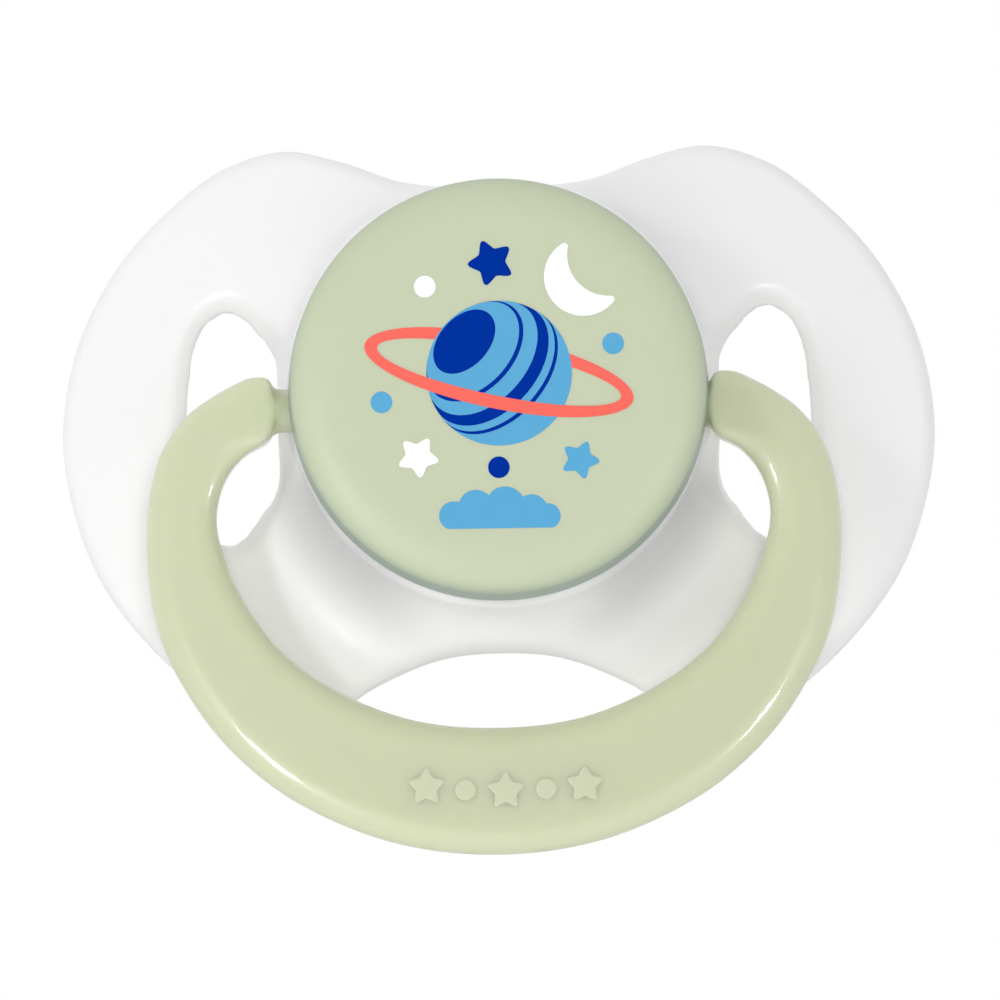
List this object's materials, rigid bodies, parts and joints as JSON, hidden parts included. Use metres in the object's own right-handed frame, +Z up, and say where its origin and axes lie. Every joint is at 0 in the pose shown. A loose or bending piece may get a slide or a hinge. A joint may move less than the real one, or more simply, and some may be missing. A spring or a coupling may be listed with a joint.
{
  "type": "pacifier",
  "caption": "Baby pacifier: butterfly shield with side vents, silicone teat, round button and a swinging ring handle.",
  "frame": {"origin": "on the teat's axis, where the teat leaves the shield's mouth side", "axes": "+X from wing tip to wing tip, +Z up past the nose notch, -Y out of the button's face, +Y along the teat into the mouth"},
  "size_m": [0.06, 0.0415, 0.0483],
  "materials": {
    "white_plastic": "glossy",
    "silicone": "clear satin",
    "core_plastic": "satin",
    "button_plastic": "satin",
    "ring_plastic": "glossy"
  },
  "bodies": {
    "soother": {"shield": "white_plastic", "teat": "silicone", "teat_core": "core_plastic", "button": "button_plastic"},
    "ring": {"ring_handle": "ring_plastic"}
  },
  "joints": [
    {"name": "ring_swing", "type": "hinge", "parent": "soother", "child": "ring", "pos_m": [0, -0.0049, -0.001], "axis": [-1, 0, 0], "range_deg": [-9, 187]}
  ]
}
